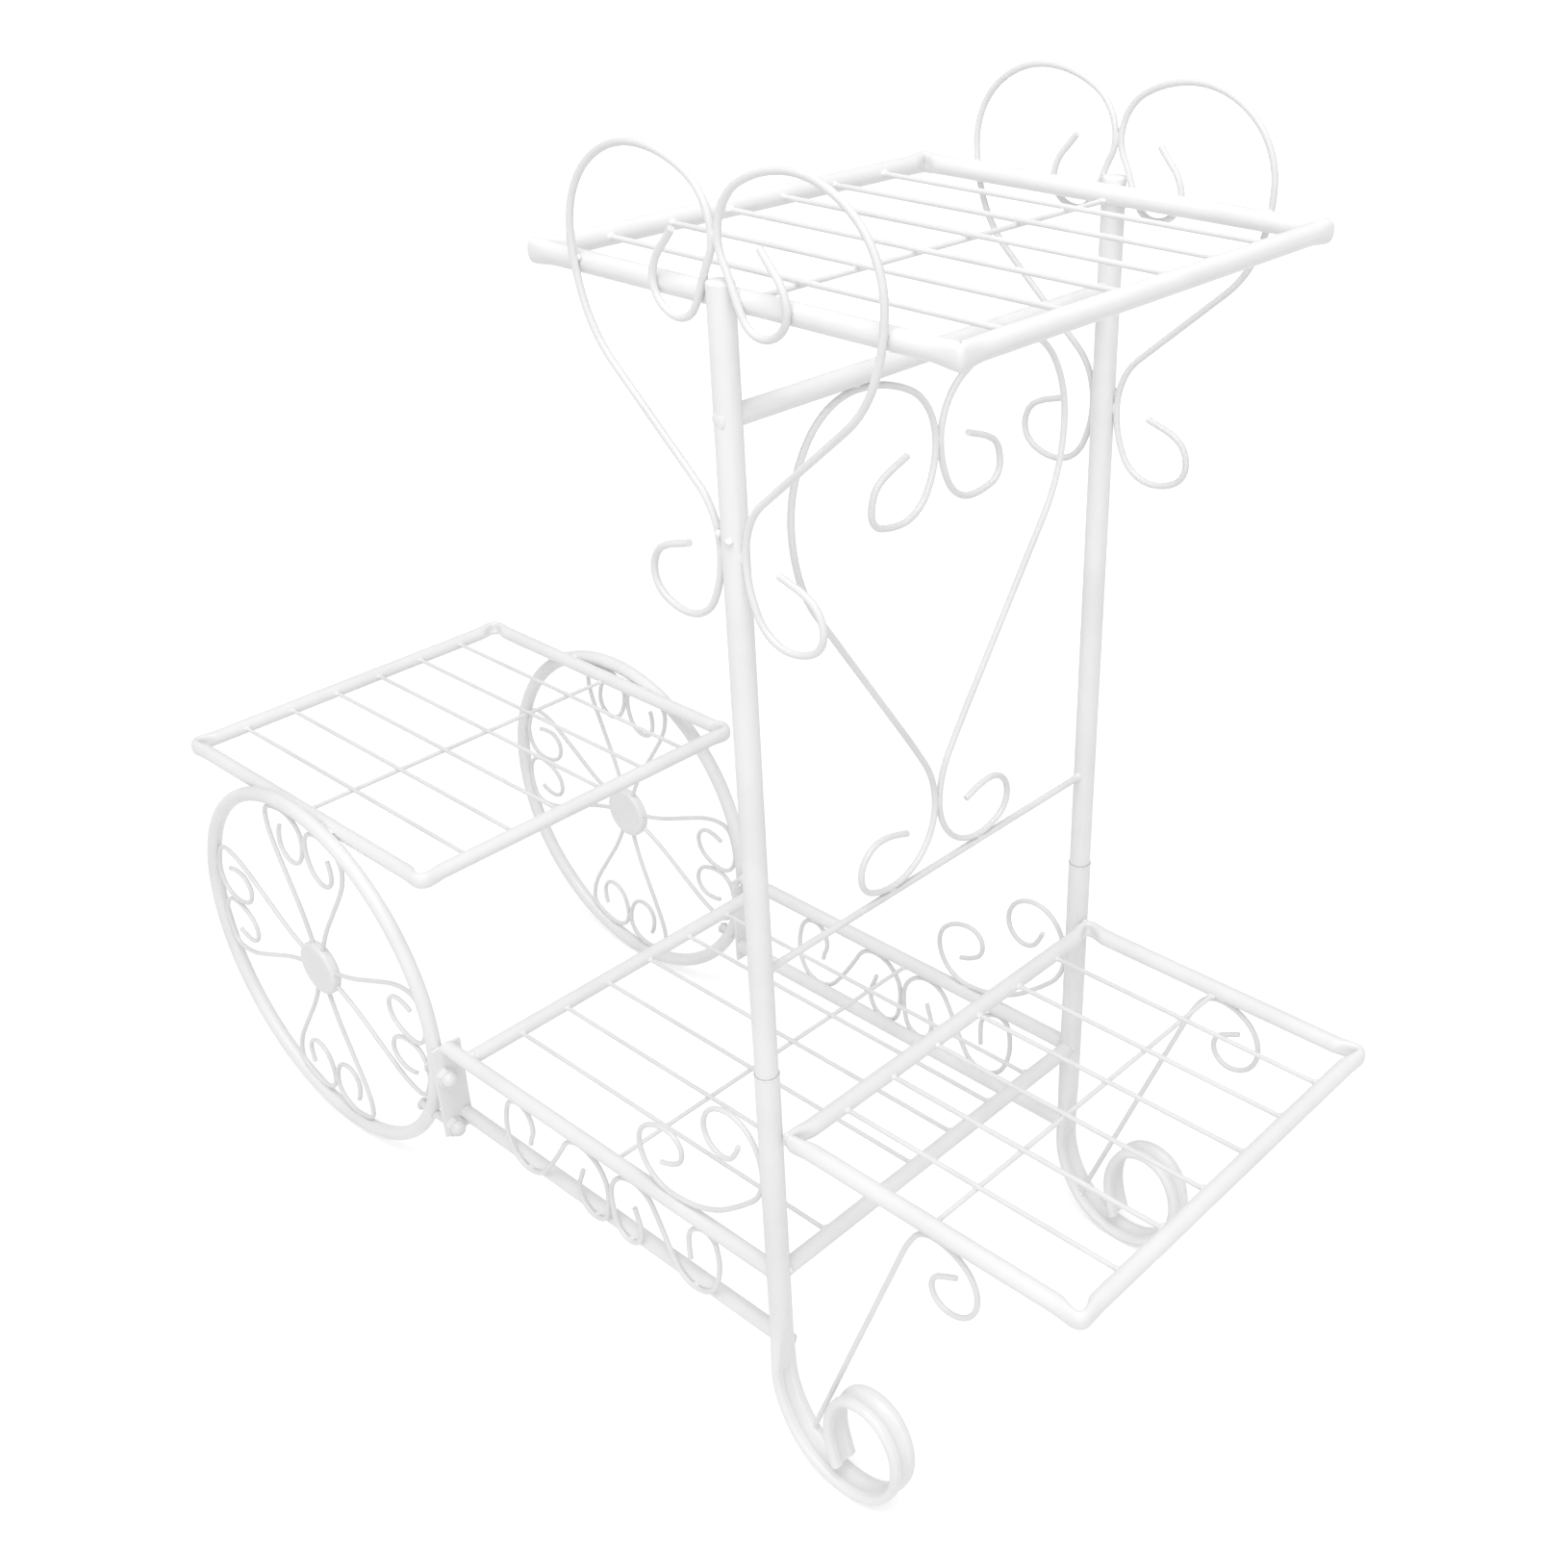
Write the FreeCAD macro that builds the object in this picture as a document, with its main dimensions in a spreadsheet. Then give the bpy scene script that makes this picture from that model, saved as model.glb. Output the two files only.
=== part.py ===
import FreeCAD, Part
import Sketcher
import math
import os
import re

from FreeCAD import Placement, Rotation, Vector

# Flower cart stand: a plant stand shaped like a little cart. Two posts carry a
# rectangular shelf on top, two ring wheels carry a second one behind, a third
# one sticks out in front and a bed joins posts and wheels near the ground.
# X runs along the cart (wheels at the back, -X), Y across it and Z up. All
# pieces are laid out from the line of the posts (x = 0) and from the ground
# (z = 0), then shifted together so that the origin lies under the middle.

SIZES = [
    ("post_d", 12.5, "post tube, outside diameter"),
    ("leg_d", 13.4, "leg tube, outside diameter"),
    ("post_wall", 1.0, "wall of the post and leg tubes"),
    ("rail_d", 10.0, "rail and shelf frame tube, outside diameter"),
    ("rail_wall", 1.0, "wall of the rail tube"),
    ("rim_d", 10.0, "wheel rim tube, outside diameter"),
    ("heart_wire_d", 3.5, "wire of the hearts"),
    ("scroll_wire_d", 3.2, "wire of scrolls, braces and wheel spokes"),
    ("grid_wire_d", 2.8, "wire of the shelf decks"),
    ("rod_d", 4.0, "rod under the middle heart"),
    ("touch_gap", 0.05, "air left between two wires that are welded side by side"),
    ("post_side", 135.0, "axis of a post from the middle plane"),
    ("post_rise", 2.0, "posts above the top of the shelf frame"),
    ("joint_height", 277.0, "joint between the post and its leg"),
    ("spigot_length", 28.0, "reduced end of the post that slides into the leg"),
    ("spigot_fit", 0.1, "radial clearance of the spigot in the leg"),
    ("shelf_bend", 8.0, "centre line radius of the shelf corners"),
    ("top_height", 676.0, "axis height of the top shelf frame"),
    ("top_length", 244.0, "top shelf, end rail to end rail, centre lines"),
    ("rear_height", 260.0, "axis height of the shelf over the wheels"),
    ("rear_length", 268.0, "shelf over the wheels, end rail to end rail"),
    ("front_height", 234.5, "axis height of the front shelf frame"),
    ("front_length", 189.0, "front shelf, end rail to end rail"),
    ("front_gap", 0.3, "front shelf tube in front of the legs, surface to surface"),
    ("weld_d", 7.0, "weld between the front shelf corner and the leg"),
    ("bed_height", 134.0, "axis height of the bed rails"),
    ("bed_back", 286.5, "axis of the rear bed rail behind the posts"),
    ("lower_height", 75.0, "axis height of the lower side rails"),
    ("bar_drop", 49.0, "axis of the bar between the posts below the top shelf's"),
    ("rod_height", 340.0, "axis height of the rod between the posts"),
    ("grid_count", 6.0, "long wires in each shelf deck"),
    ("hub_back", 446.0, "wheel axis behind the posts"),
    ("rim_radius", 131.0, "centre line radius of a wheel rim"),
    ("hub_d", 40.0, "hub disc diameter"),
    ("hub_width", 8.0, "hub disc width"),
    ("hub_round", 2.5, "rounded edge of the hub disc"),
    ("spoke_turn", -6.0, "angle of the first spoke above the horizontal, degrees"),
    ("spoke_reach", 44.4, "largest half width of a spoke"),
    ("plate_width", 22.0, "width of the plate in front of a wheel"),
    ("plate_inner", 124.0, "inner edge of the plate from the middle plane"),
    ("plate_bottom", 64.0, "lower edge of the plate above the ground"),
    ("plate_top", 136.0, "upper edge of the plate above the ground"),
    ("plate_thick", 2.0, "thickness of the plate"),
    ("bolt_d", 6.0, "bolts through plate and rim"),
    ("bolt_clearance", 0.2, "radial clearance of the bolts in their holes"),
    ("bolt_high", 113.0, "height of the upper bolt"),
    ("bolt_low", 71.0, "height of the lower bolt"),
    ("nut_across", 12.0, "cap nuts, across the flats"),
    ("head_across", 8.0, "bolt heads, across the flats"),
    ("nut_height", 5.0, "height of the six sided part of a cap nut"),
    ("head_height", 2.1, "height of a low bolt head"),
    ("screw_d", 5.0, "screws that hold the bar between the posts"),
    ("screw_length", 26.0, "length of those screws"),
    ("screw_head_d", 7.5, "diameter of their domed heads"),
    ("screw_head_height", 0.9, "height of their domed heads"),
    ("plug_length", 22.0, "threaded plug inside each end of the bar"),
    ("heart_half", 101.0, "half width of the middle heart"),
    ("side_heart_half", 91.0, "half width of a side heart"),
    ("side_heart_drop", 147.0, "lowest wire centre of a side heart below the top shelf"),
    ("side_heart_height", 203.0, "height of a side heart, wire centre to wire centre"),
    ("foot_width", 18.0, "width of the flattened foot"),
    ("foot_thick", 6.0, "thickness of the flattened foot"),
    ("foot_groove_width", 9.0, "width of the groove pressed into both faces"),
    ("foot_groove_depth", 1.4, "depth of each groove"),
    ("foot_flat_start", 100.0, "height where the round leg starts to flatten"),
    ("foot_bend_height", 62.0, "height where the foot leaves the line of the leg"),
    ("foot_reach", 92.0, "foot scroll in front of the post axis, band centre"),
    ("foot_top", 80.0, "top of the foot scroll, band centre"),
    ("corner_contact", 60.0, "corner scroll: where it meets the leg, above the bed rail"),
    ("corner_crown", 31.0, "corner scroll: its upper curl above that contact"),
    ("corner_curl", 48.0, "corner scroll: its lower curl above the bed rail"),
    ("brace_curl", 45.0, "curl at the top of a brace, highest to lowest"),
]

doc = FreeCAD.newDocument("FlowerCartStand")
sheet = doc.addObject("Spreadsheet::Sheet", "Sizes")
for row, (alias, number, note) in enumerate(SIZES, 1):
    sheet.set(f"A{row}", note)
    sheet.set(f"B{row}", str(number))
    sheet.setAlias(f"B{row}", alias)
doc.recompute()

ALIASES = {alias for alias, number, note in SIZES}
PARTS = []

# The overall length, from the rear rail of the shelf over the wheels to the
# front rail of the front shelf, is centred on the origin.
REAR_END = "(hub_back + rear_length / 2)"
FRONT_X = "(leg_d / 2 + front_gap + rail_d / 2)"
POST_X = f"(({REAR_END} - {FRONT_X} - front_length) / 2)"
# Shelf rails run just inside the posts' axes, so that a post and a side rail
# share half of their width.
SHELF_SIDE = "(post_side - rail_d / 2)"
WHEEL_SIDE = "(post_side + rim_d / 2)"
POST_TOP = "(top_height + rail_d / 2 + post_rise)"
BAR_HEIGHT = "(top_height - bar_drop)"
HUB_HEIGHT = "(rim_radius + rim_d / 2)"
PLATE_X = "(rim_radius + rim_d / 2 - hub_back)"
# The lower side rails lie inboard of the scrolls, which are welded to their
# outer faces.
LOWER_SIDE = "(post_side - rail_d / 2 - scroll_wire_d / 2)"

TURN_TO_X = Rotation(Vector(0, 1, 0), 90)
TURN_TO_Y = Rotation(Vector(1, 0, 0), -90)
UPRIGHT = Rotation()
SIDES = (("left", -1), ("right", 1))


def size(alias):
    """One driving size from the sheet, as a plain number."""
    return float(sheet.get(alias))


def formula(text):
    """The same text with every alias made a reference to the sheet."""
    return re.sub(r"[a-z_]+", lambda m: f"Sizes.{m[0]}" if m[0] in ALIASES else m[0], text)


def bind(obj, **expressions):
    for name, text in expressions.items():
        obj.setExpression(name.replace("__", "."), formula(text))
    return obj


def place(obj, x="0", y="0", z="0", turn=UPRIGHT):
    """Put an object at a place given by expressions."""
    obj.Placement = Placement(Vector(), turn)
    return bind(obj, Placement__Base__x=x, Placement__Base__y=y, Placement__Base__z=z)


def sub_part(obj, label, x="0"):
    """Name a finished piece and shift it from the posts' line to the origin."""
    obj.Label = label
    bind(obj, Placement__Base__x=f"{POST_X} + {x}")
    PARTS.append(obj)
    return obj


def cylinder(name, diameter, length, x="0", y="0", z="0", turn=UPRIGHT):
    """A round bar from the given place along its turned axis."""
    bar = doc.addObject("Part::Cylinder", name)
    bind(bar, Radius=f"({diameter}) / 2", Height=length)
    return place(bar, x, y, z, turn)


def box(name, length, width, height, x="0", y="0", z="0"):
    block = doc.addObject("Part::Box", name)
    bind(block, Length=length, Width=width, Height=height)
    return place(block, x, y, z)


def cut(name, base, tool):
    result = doc.addObject("Part::Cut", name)
    result.Base = base
    result.Tool = tool
    return result


def fuse(name, *pieces):
    result = doc.addObject("Part::MultiFuse", name)
    result.Shapes = list(pieces)
    return result


def group(name, pieces):
    """Several loose solids kept as one piece of the assembly."""
    result = doc.addObject("Part::Compound", name)
    result.Links = pieces
    return result


def tube(name, diameter, wall, length, x="0", y="0", z="0", turn=UPRIGHT):
    outside = cylinder(name + "_outside", diameter, length, x, y, z, turn)
    bore = cylinder(name + "_bore", f"{diameter} - 2 * {wall}", length, x, y, z, turn)
    return cut(name + "_tube", outside, bore)


# ---------------------------------------------------------------- bent wires

def arc(start, heading, end):
    """Arc from start to end that leaves start along heading."""
    chord = end - start
    across = Vector(-chord.y, chord.x, 0)
    turn = heading.getAngle(chord)
    if turn < 1e-4:
        return Part.LineSegment(start, end).toShape()
    if across * heading < 0:
        across = across * -1
    middle = (start + end) * 0.5 + across * (0.5 * math.tan(turn / 2))
    return Part.Arc(start, middle, end).toShape()


def smooth_path(points):
    """Tangent arcs through points (a, b, heading in degrees): two arcs join
    each point to the next, and a straight stretch stays one line."""
    edges = []
    for (a0, b0, d0), (a1, b1, d1) in zip(points, points[1:]):
        p0 = Vector(a0, b0, 0)
        p1 = Vector(a1, b1, 0)
        t0 = Vector(math.cos(math.radians(d0)), math.sin(math.radians(d0)), 0)
        t1 = Vector(math.cos(math.radians(d1)), math.sin(math.radians(d1)), 0)
        v = p1 - p0
        if t0.getAngle(v) < 1e-3 and t1.getAngle(v) < 1e-3:
            edges.append(Part.LineSegment(p0, p1).toShape())
            continue
        both = v * (t0 + t1)
        bend = 2 * (1 - t0 * t1)
        if bend < 1e-9:
            reach = (v * v) / (4 * (v * t1))
        else:
            reach = (math.sqrt(both * both + bend * (v * v)) - both) / bend
        middle = (p0 + t0 * reach + p1 - t1 * reach) * 0.5
        edges.append(arc(p0, t0, middle))
        edges.append(arc(middle, (p1 - t1 * reach) - middle, p1))
    return edges


def bent_wire(points, diameter):
    """Round wire along a path drawn in the local XY plane."""
    path = Part.Wire(smooth_path(points))
    first = points[0]
    heading = math.radians(first[2])
    start = Vector(first[0], first[1], 0)
    along = Vector(math.cos(heading), math.sin(heading), 0)
    section = Part.Wire(Part.makeCircle(diameter / 2, start, along))
    return path.makePipeShell([section], True, False)


def in_length_plane(shape, side):
    """Local (a, b) drawn as X and Z at a given Y."""
    turned = shape.copy()
    turned.Placement = Placement(Vector(0, side, 0), Rotation(Vector(1, 0, 0), 90))
    return turned


def in_cross_plane(shape, x):
    """Local (a, b) drawn as Y and Z at a given X."""
    turned = shape.copy()
    turned.Placement = Placement(Vector(x, 0, 0), Rotation(Vector(1, 1, 1), 120))
    return turned


def shaped_part(label, *shapes):
    """A piece whose shape is already laid out in the cart's frame."""
    feature = doc.addObject("Part::Feature", label)
    feature.Shape = Part.makeCompound(list(shapes))
    feature.Placement = Placement()
    return sub_part(feature, label)


# ------------------------------------------------------------ posts and legs

def build_post(side_name, sign):
    """Upright tube, notched at the top around the side rail of the shelf and
    drawn in below the joint to slide into the leg."""
    label = f"post_{side_name}"
    y = f"{sign} * post_side"
    spigot_d = "(leg_d - 2 * post_wall - 2 * spigot_fit)"
    shaft = cylinder(label + "_shaft", "post_d", f"{POST_TOP} - joint_height", y=y, z="joint_height")
    spigot = cylinder(label + "_spigot", spigot_d, "spigot_length", y=y, z="joint_height - spigot_length")
    upper_bore = cylinder(label + "_upper_bore", "post_d - 2 * post_wall", f"{POST_TOP} - joint_height",
                          y=y, z="joint_height")
    lower_bore = cylinder(label + "_lower_bore", f"{spigot_d} - 2 * post_wall", "2 * spigot_length",
                          y=y, z="joint_height - spigot_length")
    shaft = cut(label + "_tube", fuse(label + "_blank", shaft, spigot),
                fuse(label + "_bore", upper_bore, lower_bore))
    saddle = cylinder(label + "_saddle", "rail_d", "4 * post_d", x="-2 * post_d",
                      y=f"{sign} * {SHELF_SIDE}", z="top_height", turn=TURN_TO_X)
    slot_y = f"{sign} * {SHELF_SIDE} - rail_d / 2"
    slot = box(label + "_slot", "4 * post_d", "rail_d", "post_d", x="-2 * post_d", y=slot_y, z="top_height")
    screw_hole = cylinder(label + "_screw_hole", "screw_d + 2 * bolt_clearance", "2 * post_d",
                          y=f"{sign} * post_side - post_d", z=BAR_HEIGHT, turn=TURN_TO_Y)
    notch = fuse(label + "_notch", saddle, slot, screw_hole)
    sub_part(cut(label + "_body", shaft, notch), label)


def foot_points():
    """Centre line of the flattened foot scroll, from the leg to its hooked end."""
    low = size("foot_thick") / 2
    bend = size("foot_bend_height")
    reach = size("foot_reach")
    top = size("foot_top")
    return [
        (0, bend, -90),
        (0.55 * reach, low, 0),
        (reach, 0.6 * top, 90),
        (0.73 * reach, top, 180),
        (0.44 * reach, 0.56 * top, -90),
        (0.50 * reach, 0.22 * top, -72),
    ]


def four_corners(half_along, half_across, z):
    signs = ((-1, -1), (1, -1), (1, 1), (-1, 1))
    return [Vector(a * half_along, b * half_across, z) for a, b in signs]


def oval_section(width, thick, z):
    """Flat oval outline at a height, its long way across the cart."""
    a, b, c, d = four_corners(thick / 2, (width - thick) / 2, z)
    return Part.Wire([
        Part.Arc(a, Vector(0, -width / 2, z), b).toShape(),
        Part.LineSegment(b, c).toShape(),
        Part.Arc(c, Vector(0, width / 2, z), d).toShape(),
        Part.LineSegment(d, a).toShape(),
    ])


def round_section(radius, z):
    """Circle at a height, in four quarters that match the oval's four edges."""
    a, b, c, d = four_corners(radius * math.sqrt(0.5), radius * math.sqrt(0.5), z)
    middles = (Vector(0, -radius, z), Vector(radius, 0, z), Vector(0, radius, z), Vector(-radius, 0, z))
    ends = ((a, b), (b, c), (c, d), (d, a))
    return Part.Wire([Part.Arc(p, middle, q).toShape() for (p, q), middle in zip(ends, middles)])


def build_leg(side_name, sign):
    """Tube below the post, open at the top for the post's spigot, pressed
    flat and rolled into a scroll at the foot."""
    label = f"leg_{side_name}"
    side = sign * size("post_side")
    outer = size("leg_d") / 2
    flat = size("foot_flat_start")
    bend = size("foot_bend_height")
    width = size("foot_width")
    thick = size("foot_thick")
    joint = size("joint_height")
    shaft = Part.Face(round_section(outer, flat)).extrude(Vector(0, 0, joint - flat))
    bore = Part.makeCylinder(outer - size("post_wall"), joint - flat, Vector(0, 0, flat + outer))
    oval = oval_section(width, thick, bend)
    flattening = Part.makeLoft([round_section(outer, flat), oval], True, True)
    path = Part.Wire(smooth_path(foot_points()))
    path.Placement = Placement(Vector(), Rotation(Vector(1, 0, 0), 90))
    band = path.makePipeShell([oval], True, False)
    # A groove is pressed along the middle of both faces of the band.
    half_groove = size("foot_groove_width") / 2
    leg = shaft.fuse([flattening, band]).cut(bore)
    for face in (-1, 1):
        outside = face * (thick / 2 + 0.05 * size("foot_groove_width"))
        one = Vector(outside, -half_groove, bend)
        other = Vector(outside, half_groove, bend)
        deepest = Vector(face * (thick / 2 - size("foot_groove_depth")), 0, bend)
        hollow = Part.Arc(one, deepest, other).toShape()
        pressed = Part.Wire([hollow, Part.LineSegment(other, one).toShape()])
        leg = leg.cut(path.makePipeShell([pressed], True, False))
    leg.translate(Vector(0, side, 0))
    return shaped_part(label, leg.removeSplitter().Solids[0])


# ------------------------------------------------------------------- shelves

def rounded_loop(length, width, bend):
    """Closed rectangular centre line with round corners, in the XY plane."""
    a = length / 2
    b = width / 2
    edges = []
    for turn in (0, 1, 2, 3):
        quarter = Rotation(Vector(0, 0, 1), 90 * turn)
        p, q = (a, b) if turn % 2 == 0 else (b, a)
        start = Vector(p, -(q - bend), 0)
        end = Vector(p, q - bend, 0)
        middle = Vector(p - bend * (1 - math.sqrt(0.5)), q - bend * (1 - math.sqrt(0.5)), 0)
        corner_end = Vector(p - bend, q, 0)
        edges.append(Part.LineSegment(quarter.multVec(start), quarter.multVec(end)).toShape())
        arc_points = [quarter.multVec(point) for point in (end, middle, corner_end)]
        edges.append(Part.Arc(*arc_points).toShape())
    return Part.Wire(edges)


def shelf_frame(label, centre_x, height, length, bend):
    """One tube bent into a closed rectangle."""
    width = 2 * (size("post_side") - size("rail_d") / 2)
    path = rounded_loop(length, width, bend)
    start = path.Vertexes[0].Point
    section = Part.Wire(Part.makeCircle(size("rail_d") / 2, start, Vector(0, 1, 0)))
    loop = path.makePipeShell([section], True, False)
    loop.translate(Vector(centre_x, 0, height))
    return loop


def deck(name, front_x, back_x, height):
    """Long wires between two end rails, and one cross wire welded below."""
    wires = []
    for index in range(int(size("grid_count"))):
        pitch = f"(2 * {SHELF_SIDE} / (grid_count + 1))"
        y = f"-{SHELF_SIDE} + {index + 1} * {pitch}"
        wires.append(cylinder(f"{name}_wire_{index}", "grid_wire_d", f"{front_x} - {back_x} - rail_d",
                              x=f"{back_x} + rail_d / 2", y=y, z=height, turn=TURN_TO_X))
    sub_part(group(f"{name}_wires_group", wires), f"{name}_wires")
    # The cross wire sits one wire below the rails' axis, where the tube is
    # a little narrower than its full diameter.
    inset = "sqrt(rail_d ^ 2 / 4 - grid_wire_d ^ 2)"
    reach = f"({SHELF_SIDE} - {inset})"
    if name == "bed":
        reach = f"(post_side - {inset})"
    cross = cylinder(f"{name}_cross", "grid_wire_d", f"2 * {reach}", y=f"-{reach}",
                     z=f"{height} - grid_wire_d", turn=TURN_TO_Y)
    sub_part(cross, f"{name}_cross_wire", x=f"({front_x} + {back_x}) / 2")


def build_shelves():
    half_top = size("top_length") / 2
    top = shelf_frame("top_shelf_frame", 0, size("top_height"), 2 * half_top, size("shelf_bend"))
    shaped_part("top_shelf_frame", top)
    deck("top_shelf", "top_length / 2", "-top_length / 2", "top_height")

    rear = shelf_frame("rear_shelf_frame", -size("hub_back"), size("rear_height"),
                       size("rear_length"), size("shelf_bend"))
    shaped_part("rear_shelf_frame", rear)
    deck("rear_shelf", "(rear_length / 2 - hub_back)", "(-rear_length / 2 - hub_back)", "rear_height")

    front_x = size("leg_d") / 2 + size("front_gap") + size("rail_d") / 2
    front = shelf_frame("front_shelf_frame", front_x + size("front_length") / 2, size("front_height"),
                        size("front_length"), size("shelf_bend"))
    # A blob of weld at each rear corner reaches the face of the leg.
    for side_name, sign in SIDES:
        axis = Vector(0, sign * size("post_side"), size("front_height"))
        bend_centre = Vector(front_x + size("shelf_bend"), 0, size("front_height"))
        bend_centre.y = sign * (size("post_side") - size("rail_d") / 2 - size("shelf_bend"))
        toward = bend_centre - axis
        near = size("leg_d") / 2
        far = toward.Length - size("shelf_bend") - size("rail_d") / 2
        spot = axis + toward * ((near + far) / 2 / toward.Length)
        front = front.fuse(Part.makeSphere(size("weld_d") / 2, spot))
        below = axis - Vector(0, 0, 2 * size("weld_d"))
        front = front.cut(Part.makeCylinder(near, 4 * size("weld_d"), below))
    shaped_part("front_shelf_frame", front.Solids[0])
    deck("front_shelf", f"({FRONT_X} + front_length)", FRONT_X, "front_height")


# ----------------------------------------------------------------- the bed

def build_bed():
    for side_name, sign in SIDES:
        leg = cylinder(f"bed_leg_room_{side_name}", "leg_d", "joint_height", y=f"{sign} * post_side")
        rails = (("bed_upper_rail", "post_side", "bed_height"),
                 ("bed_lower_rail", LOWER_SIDE, "lower_height"))
        for name, side, height in rails:
            label = f"{name}_{side_name}"
            back = f"({PLATE_X} + plate_thick)"
            rail = tube(label, "rail_d", "rail_wall", f"-{back}", x=back, y=f"{sign} * {side}",
                        z=height, turn=TURN_TO_X)
            sub_part(cut(label + "_body", rail, leg), label)

    # Rear rail between the upper side rails, its ends shaped to them.
    rear = tube("bed_back_rail", "rail_d", "rail_wall", "2 * post_side", x="-bed_back", y="-post_side",
                z="bed_height", turn=TURN_TO_Y)
    side_rails = [cylinder(f"bed_back_room_{name}", "rail_d", "4 * rail_d", x="-bed_back - 2 * rail_d",
                           y=f"{sign} * post_side", z="bed_height", turn=TURN_TO_X) for name, sign in SIDES]
    sub_part(cut("bed_back_body", rear, fuse("bed_back_room", *side_rails)), "bed_back_rail")

    sub_part(between_posts("bed_front_rail", "bed_height", "leg_d"), "bed_front_rail")
    deck("bed", "0", "-bed_back", "bed_height")


def between_posts(name, height, upright_d):
    """Rail across the cart whose ends are shaped to the two uprights."""
    rail = tube(name, "rail_d", "rail_wall", "2 * post_side", y="-post_side", z=height, turn=TURN_TO_Y)
    posts = [cylinder(f"{name}_room_{side_name}", upright_d, "4 * rail_d", y=f"{sign} * post_side",
                      z=f"{height} - 2 * rail_d") for side_name, sign in SIDES]
    return cut(name + "_body", rail, fuse(name + "_room", *posts))


def build_cross_members():
    sub_part(between_posts("spreader_bar", BAR_HEIGHT, "post_d"), "spreader_bar")

    rod = cylinder("rod_blank", "rod_d", "2 * post_side", y="-post_side", z="rod_height", turn=TURN_TO_Y)
    posts = [cylinder(f"rod_room_{side_name}", "post_d", "4 * rail_d", y=f"{sign} * post_side",
                      z="rod_height - 2 * rail_d") for side_name, sign in SIDES]
    sub_part(cut("rod_body", rod, fuse("rod_room", *posts)), "lower_rod")

    # A threaded plug fills each end of the bar; a domed screw comes through
    # the post from outside into it.
    plugs = []
    screws = []
    for side_name, sign in SIDES:
        turn = Rotation(Vector(1, 0, 0), 90 * sign)
        plug = cylinder(f"plug_blank_{side_name}", "rail_d - 2 * rail_wall", "plug_length",
                        y=f"{sign} * (post_side - post_d / 2)", z=BAR_HEIGHT, turn=turn)
        thread = cylinder(f"plug_thread_{side_name}", "screw_d", "2 * plug_length",
                          y=f"{sign} * (post_side - post_d / 2 + plug_length / 2)", z=BAR_HEIGHT, turn=turn)
        room = cylinder(f"plug_room_{side_name}", "post_d", "4 * rail_d", y=f"{sign} * post_side",
                        z=f"{BAR_HEIGHT} - 2 * rail_d")
        plugs.append(cut(f"plug_{side_name}", plug, fuse(f"plug_cuts_{side_name}", thread, room)))
        shank = cylinder(f"screw_shank_{side_name}", "screw_d", "screw_length",
                         y=f"{sign} * (post_side + post_d / 2)", z=BAR_HEIGHT, turn=turn)
        dome = doc.addObject("Part::Sphere", f"screw_dome_{side_name}")
        # Sphere through the rim and the crown of a shallow dome.
        ball = "((screw_head_d ^ 2 / 4 + screw_head_height ^ 2) / (2 * screw_head_height))"
        bind(dome, Radius=ball)
        place(dome, y=f"{sign} * (post_side + post_d / 2 + screw_head_height - {ball})", z=BAR_HEIGHT)
        away = Rotation(Vector(1, 0, 0), -90 * sign)
        limit = cylinder(f"screw_limit_{side_name}", "screw_head_d", "screw_head_height",
                         y=f"{sign} * (post_side + post_d / 2)", z=BAR_HEIGHT, turn=away)
        head = doc.addObject("Part::Common", f"screw_head_{side_name}")
        head.Base = dome
        head.Tool = limit
        screws.append(fuse(f"screw_{side_name}", shank, head))
    sub_part(group("bar_plugs_group", plugs), "bar_plugs")
    sub_part(group("bar_screws_group", screws), "bar_screws")


# ----------------------------------------------------------- hearts, scrolls

def centre_heart_points():
    """Half of the middle heart as (across, up): hooked end, top lobe, long
    side, lower curl. It hangs from the bar and stands on the rod."""
    wire = size("heart_wire_d") / 2
    low = size("rod_height") + size("rod_d") / 2 + wire
    high = size("top_height") - size("bar_drop") - size("rail_d") / 2 - wire
    tall = high - low
    wide = size("heart_half")
    middle = wire + size("touch_gap")
    long_side = math.degrees(math.atan2(-0.31 * tall, -0.59 * wide))
    return [
        (0.22 * wide, low + 0.855 * tall, -20),
        (0.41 * wide, low + 0.826 * tall, -32),
        (0.475 * wide, low + 0.775 * tall, -90),
        (0.27 * wide, low + 0.735 * tall, 180),
        (middle, low + 0.86 * tall, 90),
        (0.56 * wide, high, 0),
        (wide, low + 0.81 * tall, -90),
        (0.85 * wide, low + 0.63 * tall, long_side),
        (0.26 * wide, low + 0.32 * tall, long_side),
        (middle, low + 0.13 * tall, -90),
        (0.36 * wide, low, 0),
        (0.60 * wide, low + 0.06 * tall, 90),
        (0.44 * wide, low + 0.117 * tall, 180),
        (0.24 * wide, low + 0.10 * tall, 200),
    ]


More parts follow.
